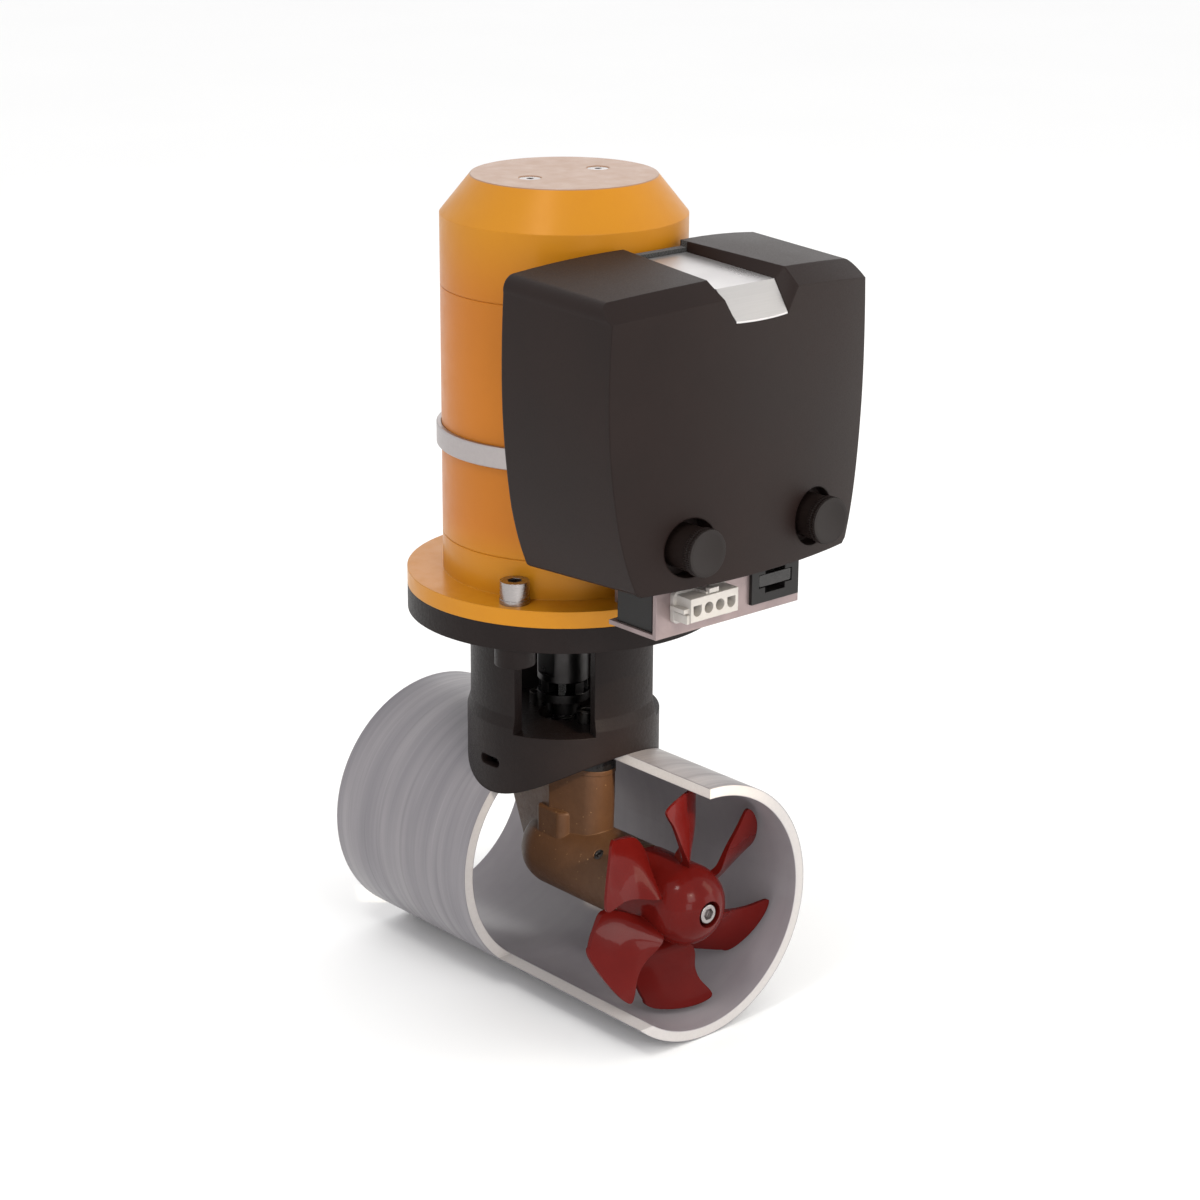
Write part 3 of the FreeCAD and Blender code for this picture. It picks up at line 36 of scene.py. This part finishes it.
# ------------------------------------------------------------------ node helpers
class Mat:
    """A small writer for node materials. Every texture is laid out in the object's own metres."""

    def __init__(self, name, color, rough=0.5, metal=0.0, **kw):
        self.m = bpy.data.materials.new(name)
        self.m.use_nodes = True
        self.t = self.m.node_tree
        self.t.nodes.clear()
        self.out = self.new("ShaderNodeOutputMaterial")
        self.b = self.new("ShaderNodeBsdfPrincipled")
        self.link(self.b.outputs[0], self.out.inputs[0])
        self.b.inputs["Base Color"].default_value = (*color, 1)
        self.b.inputs["Roughness"].default_value = rough
        self.b.inputs["Metallic"].default_value = metal
        for k, v in kw.items():
            self.b.inputs[k.replace("_", " ")].default_value = v
        self.tc = self.new("ShaderNodeTexCoord").outputs["Object"]
        self.nrm = None
        self.m.diffuse_color = (*color, 1)

    def new(self, t, **kw):
        n = self.t.nodes.new(t)
        for k, v in kw.items():
            setattr(n, k, v)
        return n

    def link(self, a, b):
        self.t.links.new(a, b)

    def put(self, sock, v):
        if isinstance(v, bpy.types.NodeSocket):
            self.link(v, sock)
        elif isinstance(v, (tuple, list)):
            sock.default_value = (*v, 1) if len(v) == 3 and sock.type == "RGBA" else v
        else:
            sock.default_value = v

    def map(self, scale=(1, 1, 1), rot=(0, 0, 0), loc=(0, 0, 0)):
        n = self.new("ShaderNodeMapping")
        self.link(self.tc, n.inputs[0])
        n.inputs["Scale"].default_value = scale
        n.inputs["Rotation"].default_value = rot
        n.inputs["Location"].default_value = loc
        return n.outputs[0]

    def noise(self, scale, detail=3, rough=0.5, vec=None, dist=0.0):
        n = self.new("ShaderNodeTexNoise")
        self.link(vec or self.tc, n.inputs["Vector"])
        n.inputs["Scale"].default_value = scale
        n.inputs["Detail"].default_value = detail
        n.inputs["Roughness"].default_value = rough
        n.inputs["Distortion"].default_value = dist
        return n.outputs["Fac"]

    def voronoi(self, scale, vec=None, out="Distance", feature="F1", rnd=1.0):
        n = self.new("ShaderNodeTexVoronoi", feature=feature)
        self.link(vec or self.tc, n.inputs["Vector"])
        n.inputs["Scale"].default_value = scale
        n.inputs["Randomness"].default_value = rnd
        return n.outputs[out]

    def math(self, op, a, b=None, c=None, clamp=False):
        n = self.new("ShaderNodeMath", operation=op, use_clamp=clamp)
        self.put(n.inputs[0], a)
        if b is not None:
            self.put(n.inputs[1], b)
        if c is not None:
            self.put(n.inputs[2], c)
        return n.outputs[0]

    def rng(self, v, a, b, c=0.0, d=1.0, smooth=False):
        n = self.new("ShaderNodeMapRange", interpolation_type="SMOOTHSTEP" if smooth else "LINEAR")
        for i, x in enumerate((v, a, b, c, d)):
            self.put(n.inputs[i], x)
        return n.outputs[0]

    def ramp(self, fac, *stops):
        n = self.new("ShaderNodeValToRGB")
        self.link(fac, n.inputs[0])
        e = n.color_ramp.elements
        while len(e) < len(stops):
            e.new(0.5)
        for i, (p, col) in enumerate(stops):
            e[i].position = p
            e[i].color = (*col, 1) if isinstance(col, (tuple, list)) else (col, col, col, 1)
        return n.outputs[0]

    def mix(self, fac, a, b, mode="MIX"):
        n = self.new("ShaderNodeMix", data_type="RGBA", blend_type=mode)
        self.put(n.inputs[0], fac)
        self.put(n.inputs[6], a)
        self.put(n.inputs[7], b)
        return n.outputs[2]

    def xyz(self, vec=None):
        n = self.new("ShaderNodeSeparateXYZ")
        self.link(vec or self.tc, n.inputs[0])
        return n.outputs

    def bevel(self, radius):
        n = self.new("ShaderNodeBevel", samples=6)
        n.inputs["Radius"].default_value = radius
        self.nrm = n.outputs[0]
        return self

    def edge(self, radius, lo=0.02, hi=0.25):
        """mask that is 1 along sharp edges"""
        n = self.new("ShaderNodeBevel", samples=6)
        n.inputs["Radius"].default_value = radius
        g = self.new("ShaderNodeNewGeometry")
        d = self.new("ShaderNodeVectorMath", operation="DOT_PRODUCT")
        self.link(n.outputs[0], d.inputs[0])
        self.link(g.outputs["Normal"], d.inputs[1])
        return self.rng(self.math("SUBTRACT", 1.0, d.outputs["Value"]), lo, hi)

    def bump(self, h, strength, dist=0.001):
        n = self.new("ShaderNodeBump")
        n.inputs["Strength"].default_value = strength
        n.inputs["Distance"].default_value = dist
        self.link(h, n.inputs["Height"])
        if self.nrm is not None:
            self.link(self.nrm, n.inputs["Normal"])
        self.nrm = n.outputs[0]
        return self

    def color(self, v):
        self.put(self.b.inputs["Base Color"], v)
        return self

    def rough(self, v):
        self.put(self.b.inputs["Roughness"], v)
        return self

    def done(self):
        if self.nrm is not None:
            self.link(self.nrm, self.b.inputs["Normal"])
        return self.m


def radius_of(M, axes="XY"):
    s = M.xyz()
    a, b = s["XYZ".index(axes[0])], s["XYZ".index(axes[1])]
    return M.math("SQRT", M.math("ADD", M.math("MULTIPLY", a, a), M.math("MULTIPLY", b, b)))


# ------------------------------------------------------------------ materials
def orange_paint(name, base=(0.470, 0.150, 0.010), rough=0.34):
    M = Mat(name, base, rough, 0.06, Coat_Weight=0.06, Coat_Roughness=0.08, Specular_IOR_Level=0.20)
    big, mid, peel = M.noise(14, 2), M.noise(120, 4, 0.6), M.noise(900, 2, 0.4)
    z = M.xyz()[2]
    c = M.mix(M.rng(big, 0.35, 0.65), tuple(x * 0.97 for x in base), tuple(x * 1.06 for x in base))
    # painted highlight: the cap at the top and the flange at the bottom are painted a little yellower, standing in
    # for the warm key light falling on them
    top = M.rng(z, 0.262, 0.306, 0, 1, True)
    low = M.rng(z, 0.150, 0.172, 1, 0, True)
    c = M.mix(M.math("MAXIMUM", top, low), c, (0.50, 0.200, 0.008))
    c = M.mix(M.rng(mid, 0.45, 0.8, 0, 0.12), c, tuple(x * 0.85 for x in base))
    c = M.mix(M.math("MULTIPLY", M.edge(0.0006, 0.08, 0.5), 0.16), c, (0.62, 0.29, 0.06))
    # painted reflection: the flat top disc is painted paler, standing in for the back light mirrored in it
    c = M.mix(M.rng(z, 0.3180, 0.3183, 0, 0.92), c, (0.30, 0.178, 0.118))
    M.color(c)
    M.rough(M.rng(mid, 0.3, 0.7, rough - 0.04, rough + 0.06))
    M.bevel(0.0006).bump(peel, 0.05, 0.0003)
    return M.done()


def black_plastic(name, base=(0.020, 0.016, 0.014), rough=0.42, grain=1500, amt=0.12, bev=0.0005, spec=0.25):
    M = Mat(name, base, rough, Specular_IOR_Level=spec)
    g, big = M.noise(grain, 2, 0.5), M.noise(22, 3)
    hi = tuple(x * 1.28 for x in base)
    M.color(M.mix(M.rng(big, 0.35, 0.7), base, hi))
    M.rough(M.math("ADD", M.rng(g, 0.3, 0.7, rough - 0.04, rough + 0.05), M.rng(big, 0.3, 0.7, -0.02, 0.03)))
    M.bevel(bev).bump(g, amt, 0.00025)
    return M.done()


def cast_black(name, base=(0.0088, 0.0056, 0.0052)):
    M = Mat(name, base, 0.5, Specular_IOR_Level=0.14)
    lumps, grit, big = M.voronoi(420), M.noise(1400, 3, 0.6), M.noise(30, 4)
    M.color(M.mix(M.rng(big, 0.35, 0.75), base, tuple(x * 1.6 for x in base)))
    M.rough(M.rng(grit, 0.3, 0.7, 0.36, 0.56))
    M.bevel(0.0007).bump(lumps, 0.10, 0.0006).bump(grit, 0.22, 0.0004)
    return M.done()


def steel(name, base=(0.35, 0.325, 0.32), rough=0.25, axis="Z", bev=0.0003, blot_amt=0.18):
    M = Mat(name, base, rough, 1.0)
    sc = {"Z": (1, 1, 40), "Y": (1, 40, 1), "X": (40, 1, 1)}[axis]
    brush, blot = M.noise(160, 3, 0.6, M.map(sc)), M.noise(700, 3, 0.5)
    M.color(M.mix(M.rng(blot, 0.4, 0.75, 0, blot_amt), base, tuple(x * 0.72 for x in base)))
    M.rough(M.rng(brush, 0.3, 0.7, rough - 0.04, rough + 0.08))
    M.bevel(bev).bump(brush, 0.04, 0.0002)
    return M.done()


def bronze_coat(name):
    M = Mat(name, (0.100, 0.050, 0.023), 0.50, 0.12, Specular_IOR_Level=0.22)
    big, mid, grit = M.noise(35, 4, 0.6), M.noise(300, 5, 0.7), M.noise(1500, 3, 0.7)
    c = M.mix(M.rng(big, 0.3, 0.7), (0.070, 0.032, 0.0145), (0.098, 0.046, 0.022))
    c = M.mix(M.rng(mid, 0.5, 0.75, 0, 0.5), c, (0.065, 0.030, 0.015))
    spark = M.rng(M.voronoi(1800, out="Color"), 0.93, 0.98)
    c = M.mix(M.math("MULTIPLY", spark, 0.6), c, (0.40, 0.24, 0.12))
    c = M.mix(M.math("MULTIPLY", M.edge(0.0008, 0.05, 0.4), 0.45), c, (0.28, 0.15, 0.07))
    M.color(c)
    M.rough(M.rng(mid, 0.3, 0.7, 0.36, 0.54))
    M.bevel(0.0009).bump(mid, 0.10, 0.0007).bump(grit, 0.20, 0.0004)
    return M.done()


def turned_bronze(name):
    M = Mat(name, (0.12, 0.062, 0.032), 0.34, 0.7)
    rings, big = M.noise(200, 3, 0.6, M.map((0.6, 40, 0.6))), M.noise(60, 3)
    M.color(M.mix(M.rng(big, 0.3, 0.7), (0.10, 0.048, 0.024), (0.17, 0.09, 0.046)))
    M.rough(M.rng(rings, 0.3, 0.7, 0.28, 0.46))
    M.bevel(0.0004).bump(rings, 0.10, 0.0003)
    return M.done()


def tube_material(name):
    """streaky gel coat outside, smooth grey inside, pale cut and end faces: told apart by distance from the tube's axis"""
    M = Mat(name, (0.34, 0.35, 0.38), 0.4)
    r = radius_of(M, "XZ")
    outside = M.rng(r, 0.05965, 0.05985)
    inside = M.rng(r, 0.05515, 0.05535, 1.0, 0.0)
    x, y, z = M.xyz()[0], M.xyz()[1], M.xyz()[2]
    hoop = M.noise(1.0, 5, 0.62, M.map((7, 330, 7)))
    hoop2 = M.noise(1.0, 3, 0.55, M.map((14, 1300, 14)))
    wide = M.noise(1.0, 3, 0.5, M.map((5, 75, 5)))
    blot = M.noise(26, 4, 0.6)
    co = M.mix(M.rng(wide, 0.35, 0.68), (0.168, 0.157, 0.172), (0.242, 0.226, 0.238))
    co = M.mix(M.rng(hoop, 0.50, 0.74, 0, 0.40), co, (0.110, 0.102, 0.118))
    co = M.mix(M.rng(hoop2, 0.58, 0.76, 0, 0.35), co, (0.30, 0.285, 0.295))
    ci = M.mix(M.rng(blot, 0.3, 0.7), (0.262, 0.238, 0.256), (0.315, 0.290, 0.305))
    ci = M.mix(M.rng(M.noise(1.0, 3, 0.5, M.map((5, 160, 5))), 0.45, 0.75, 0, 0.25), ci, (0.22, 0.20, 0.215))
    fleck = M.noise(700, 4, 0.7)
    cc = M.mix(M.rng(fleck, 0.4, 0.75, 0, 0.4), (0.52, 0.49, 0.475), (0.42, 0.39, 0.38))
    cc = M.mix(M.rng(M.math("ABSOLUTE", M.math("SUBTRACT", r, 0.0575)), 0.0014, 0.0023, 0, 0.35), cc, (0.44, 0.42, 0.42))
    c = M.mix(outside, cc, co)
    M.color(M.mix(inside, c, ci))
    ro = M.rng(hoop, 0.35, 0.7, 0.30, 0.46)
    rr = M.math("ADD", M.math("MULTIPLY", outside, ro), M.math("MULTIPLY", M.math("SUBTRACT", 1.0, outside), 0.58))
    M.rough(M.math("SUBTRACT", rr, M.math("MULTIPLY", inside, 0.30)))
    M.bevel(0.0005)
    M.bump(M.math("MULTIPLY", hoop, outside), 0.22, 0.0006).bump(fleck, 0.05, 0.0003)
    return M.done()


def red_gloss(name):
    M = Mat(name, (0.18, 0.006, 0.006), 0.24, Coat_Weight=0.14, Coat_Roughness=0.035, Specular_IOR_Level=0.05)
    big, fine = M.noise(45, 3), M.noise(900, 2)
    r = radius_of(M, "XZ")
    c = M.mix(M.rng(big, 0.3, 0.7), (0.084, 0.0045, 0.0035), (0.112, 0.0066, 0.0050))
    c = M.mix(M.rng(r, 0.02, 0.052, 0, 0.35), c, (0.118, 0.0074, 0.0062))
    M.color(c)
    M.rough(M.rng(M.noise(160, 4), 0.3, 0.7, 0.16, 0.27))
    M.bevel(0.0005).bump(fine, 0.04, 0.0002).bump(big, 0.04, 0.0008)
    return M.done()


def nylon(name):
    M = Mat(name, (0.52, 0.49, 0.46), 0.42, Subsurface_Weight=0.08, Subsurface_Radius=(0.002, 0.002, 0.002), Subsurface_Scale=0.5)
    g, big = M.noise(1200, 2), M.noise(90, 3)
    M.color(M.mix(M.rng(big, 0.3, 0.7), (0.47, 0.445, 0.42), (0.42, 0.395, 0.375)))
    M.rough(M.rng(g, 0.3, 0.7, 0.38, 0.5))
    M.bevel(0.0004).bump(g, 0.08, 0.0002)
    return M.done()


def zinc(name, base=(0.285, 0.222, 0.220)):
    M = Mat(name, base, 0.40, 0.5)
    sp, blot, fine = M.voronoi(60, out="Color"), M.noise(90, 4, 0.6), M.noise(1.0, 3, 0.6, M.map((900, 900, 40)))
    M.color(M.mix(M.rng(blot, 0.35, 0.7), base, tuple(x * 0.84 for x in base)))
    M.rough(M.rng(blot, 0.3, 0.7, 0.32, 0.46))
    M.bevel(0.0004).bump(fine, 0.04, 0.0002)
    return M.done()


def brushed_plate(name):
    M = Mat(name, (0.44, 0.43, 0.43), 0.30, 0.8)
    lines = M.noise(1.0, 3, 0.7, M.map((40, 2600, 2600)))
    soft = M.noise(60, 3)
    M.color(M.mix(M.rng(lines, 0.3, 0.75, 0, 0.35), (0.50, 0.485, 0.485), (0.40, 0.39, 0.39)))
    M.rough(M.rng(soft, 0.3, 0.7, 0.26, 0.36))
    M.bevel(0.0002).bump(lines, 0.025, 0.0002)
    return M.done()


def foam(name):
    M = Mat(name, (0.016, 0.015, 0.015), 0.85, Sheen_Weight=0.2)
    cells = M.voronoi(1400)
    M.color(M.mix(M.rng(cells, 0.1, 0.6), (0.010, 0.010, 0.010), (0.03, 0.029, 0.028)))
    M.bump(cells, 0.8, 0.0006)
    return M.done()


def metal(name, base, rough=0.3, scale=400):
    M = Mat(name, base, rough, 1.0)
    a, b = M.noise(scale, 3), M.noise(60, 3)
    M.color(M.mix(M.rng(b, 0.3, 0.7), base, tuple(x * 0.8 for x in base)))
    M.rough(M.rng(a, 0.3, 0.7, rough - 0.05, rough + 0.12))
    M.bevel(0.0003).bump(a, 0.06, 0.0002)
    return M.done()


def windings(name):
    M = Mat(name, (0.45, 0.17, 0.06), 0.3, 0.9)
    w = M.new("ShaderNodeTexWave", wave_type="RINGS", rings_direction="Z")
    M.link(M.tc, w.inputs["Vector"])
    w.inputs["Scale"].default_value = 260
    w.inputs["Distortion"].default_value = 2.0
    M.color(M.mix(w.outputs["Fac"], (0.30, 0.10, 0.03), (0.55, 0.22, 0.08)))
    M.bump(w.outputs["Fac"], 0.6, 0.0006)
    return M.done()


def stack(name):
    M = Mat(name, (0.22, 0.22, 0.23), 0.4, 0.9)
    w = M.new("ShaderNodeTexWave", wave_type="BANDS", bands_direction="Z")
    M.link(M.tc, w.inputs["Vector"])
    w.inputs["Scale"].default_value = 320
    M.color(M.mix(w.outputs["Fac"], (0.14, 0.14, 0.15), (0.28, 0.28, 0.29)))
    M.bump(w.outputs["Fac"], 0.4, 0.0004)
    return M.done()


def tinted(name):
    M = Mat(name, (0.020, 0.018, 0.018), 0.22, Coat_Weight=0.2, Specular_IOR_Level=0.3)
    a = M.noise(300, 3)
    M.color(M.mix(M.rng(a, 0.3, 0.7), (0.014, 0.013, 0.013), (0.026, 0.024, 0.024)))
    M.bevel(0.0004).bump(a, 0.03, 0.0002)
    return M.done()


MATS = {
    "orange": orange_paint("orange_paint"), "cover": black_plastic("cover_plastic", (0.0120, 0.0064, 0.0054), 0.46, 1700, 0.10, 0.0011, 0.16),
    "knob": black_plastic("knob_plastic", (0.009, 0.0056, 0.0048), 0.36, 2200, 0.02, 0.0004, 0.20),
    "black": black_plastic("black_moulding", (0.009, 0.008, 0.008), 0.36, 1500, 0.10, 0.0004),
    "collar": black_plastic("collar_black", (0.008, 0.007, 0.007), 0.3, 900, 0.08, 0.0006),
    "cast": cast_black("cast_black"), "steel": steel("steel"), "steelY": steel("steel_turned", axis="Y"),
    "dark": metal("dark_steel", (0.14, 0.13, 0.125), 0.30), "bronze": bronze_coat("bronze_coat"), "turned": turned_bronze("turned_bronze"),
    "tube": tube_material("tube_laminate"), "red": red_gloss("red_gloss"), "nylon": nylon("white_nylon"), "zinc": zinc("zinc_sheet"),
    "plate": brushed_plate("brushed_plate"), "foam": foam("foam"), "brass": metal("brass", (0.72, 0.50, 0.20), 0.28),
    "copper": metal("copper", (0.72, 0.34, 0.18), 0.3), "alu": metal("cast_alu", (0.62, 0.62, 0.63), 0.42),
    "band": steel("band_steel", (0.42, 0.385, 0.38), 0.40, "Z", 0.0004), "rubber": foam("rubber"), "wind": windings("copper_windings"), "stack": stack("laminations"),
    "magnet": metal("magnet", (0.07, 0.07, 0.075), 0.5), "tin": metal("tinned", (0.62, 0.58, 0.50), 0.3), "fuse": tinted("fuse_body"),
    "anod": metal("black_anodised", (0.048, 0.045, 0.045), 0.32, 150), "carbon": black_plastic("carbon", (0.03, 0.03, 0.03), 0.5),
}
USE = {
    "tunnel": "tube", "saddle_flange": "cast", "leg_collar": "collar", "housing_bolts": "dark", "flange_bolts": "steel", "spring_washers": "steel",
    "gear_housing": "bronze", "bearing_carrier": "turned", "carrier_screw": "dark", "motor_flange": "orange", "motor_housing": "orange", "motor_end_cap": "orange",
    "end_cap_screws": "steel", "field_magnets": "magnet", "brush_plate": "alu", "carbon_brushes": "carbon", "brush_springs": "steel", "band_clamp": "band",
    "band_screw": "steelY", "motor_shaft": "steel", "armature_core": "stack", "armature_windings": "wind", "commutator": "copper", "coupling_top_hub": "anod",
    "coupling_spider": "rubber", "coupling_bottom_hub": "anod", "drive_shaft": "steel", "bevel_pinion": "dark", "bevel_gear": "dark", "prop_shaft": "steelY",
    "shear_pin": "steel", "propeller": "red", "prop_washer": "steelY", "prop_screw": "steelY", "control_bracket": "zinc", "bracket_screws": "steel",
    "knob_posts": "steelY", "connector_socket": "nylon", "connector_pins": "tin", "fuse_holder": "black", "fuse": "fuse", "control_box": "black",
    "contactors": "black", "terminal_block": "black", "battery_studs": "brass", "stud_nuts": "brass", "bus_bars": "copper", "cover": "cover", "id_plate": "plate",
    "foam_strip": "foam", "knob_left": "knob", "knob_right": "knob",
}
for n, o in N.items():
    k = USE.get(n) or ("rubber" if "seal" in n else "steel")
    o.data.materials.clear()
    o.data.materials.append(MATS[k])

# ------------------------------------------------------------------ floor, light, camera
bm = bmesh.new()
bmesh.ops.create_grid(bm, x_segments=8, y_segments=8, size=6.0)
me = bpy.data.meshes.new("floor")
bm.to_mesh(me)
bm.free()
floor = bpy.data.objects.new("floor", me)
C.objects.link(floor)
floor.location = (0, 0, cad_lo.z - 0.0003)
F = Mat("pale_floor", (0.97, 0.97, 0.97), 0.8, Specular_IOR_Level=0.1)
F.color(F.mix(F.rng(F.noise(3, 2), 0.3, 0.7), (0.97, 0.97, 0.97), (0.96, 0.96, 0.96)))
me.materials.append(F.done())

w = bpy.data.worlds.new("studio")
bpy.context.scene.world = w
w.use_nodes = True
bg = w.node_tree.nodes["Background"]
bg.inputs[0].default_value = (1.0, 1.0, 1.0, 1)
bg.inputs[1].default_value = 1.0


def area(name, loc, target, size, power, color=(1, 1, 1), sy=None):
    L = bpy.data.lights.new(name, "AREA")
    L.shape = "RECTANGLE"
    L.size, L.size_y = size, sy or size
    L.energy, L.color = power, color
    o = bpy.data.objects.new(name, L)
    C.objects.link(o)
    o.location = loc
    o.rotation_euler = (Vector(target) - Vector(loc)).to_track_quat("-Z", "Y").to_euler()
    return o


area("key", (-0.35, -1.72, 1.05), (0, 0, 0.2), 0.7, 9, (1.0, 0.985, 0.95), 0.8)
area("side", (1.35, -1.0, 0.9), (0, 0, 0.2), 0.5, 4.5, (1.0, 0.93, 0.74), 0.9)
area("front", (0.85, -1.05, 0.12), (0, -0.05, 0.2), 0.7, 2.4, (1.0, 0.985, 0.97), 0.6)
area("sheen", (-0.45, -1.25, 0.20), (0, -0.08, 0.28), 0.35, 1.4, (1.0, 0.985, 0.97), 0.35)
area("over", (-0.85, -0.30, 1.55), (0, 0, 0.05), 0.30, 5.0, (1.0, 0.99, 0.97))
area("rim", (1.2, 1.1, 0.85), (0, 0, 0.2), 0.9, 1.8, (1, 0.97, 0.96))

# a small warm spot that rakes over the leg's nose
SL = bpy.data.lights.new("leg_spot", "SPOT")
SL.energy, SL.color = 160, (1.0, 0.86, 0.64)
SL.spot_size, SL.spot_blend, SL.shadow_soft_size = math.radians(3.4), 0.7, 0.03
so = bpy.data.objects.new("leg_spot", SL)
C.objects.link(so)
so.location = (-0.228, -1.29, 0.918)
so.rotation_euler = (Vector((0.0, -0.032, 0.034)) - Vector(so.location)).to_track_quat("-Z", "Y").to_euler()

cam = bpy.data.cameras.new("camera")
cam.sensor_width = 36.0
cam.lens = 36.0 * 2912.20 / 1200.0
cam.clip_start, cam.clip_end = 0.05, 60
co = bpy.data.objects.new("camera", cam)
C.objects.link(co)
R, U, B = (0.75062529, -0.66070701, 0.00528486), (0.20389208, 0.23923394, 0.94931298), (-0.62848206, -0.71150079, 0.31428797)
co.matrix_world = Matrix(((R[0], U[0], B[0], -0.82318), (R[1], U[1], B[1], -0.95699), (R[2], U[2], B[2], 0.54044), (0, 0, 0, 1)))
bpy.context.scene.camera = co
vs = bpy.context.scene.view_settings
vs.view_transform = "Standard"
vs.look = "None"
vs.exposure = 0.0
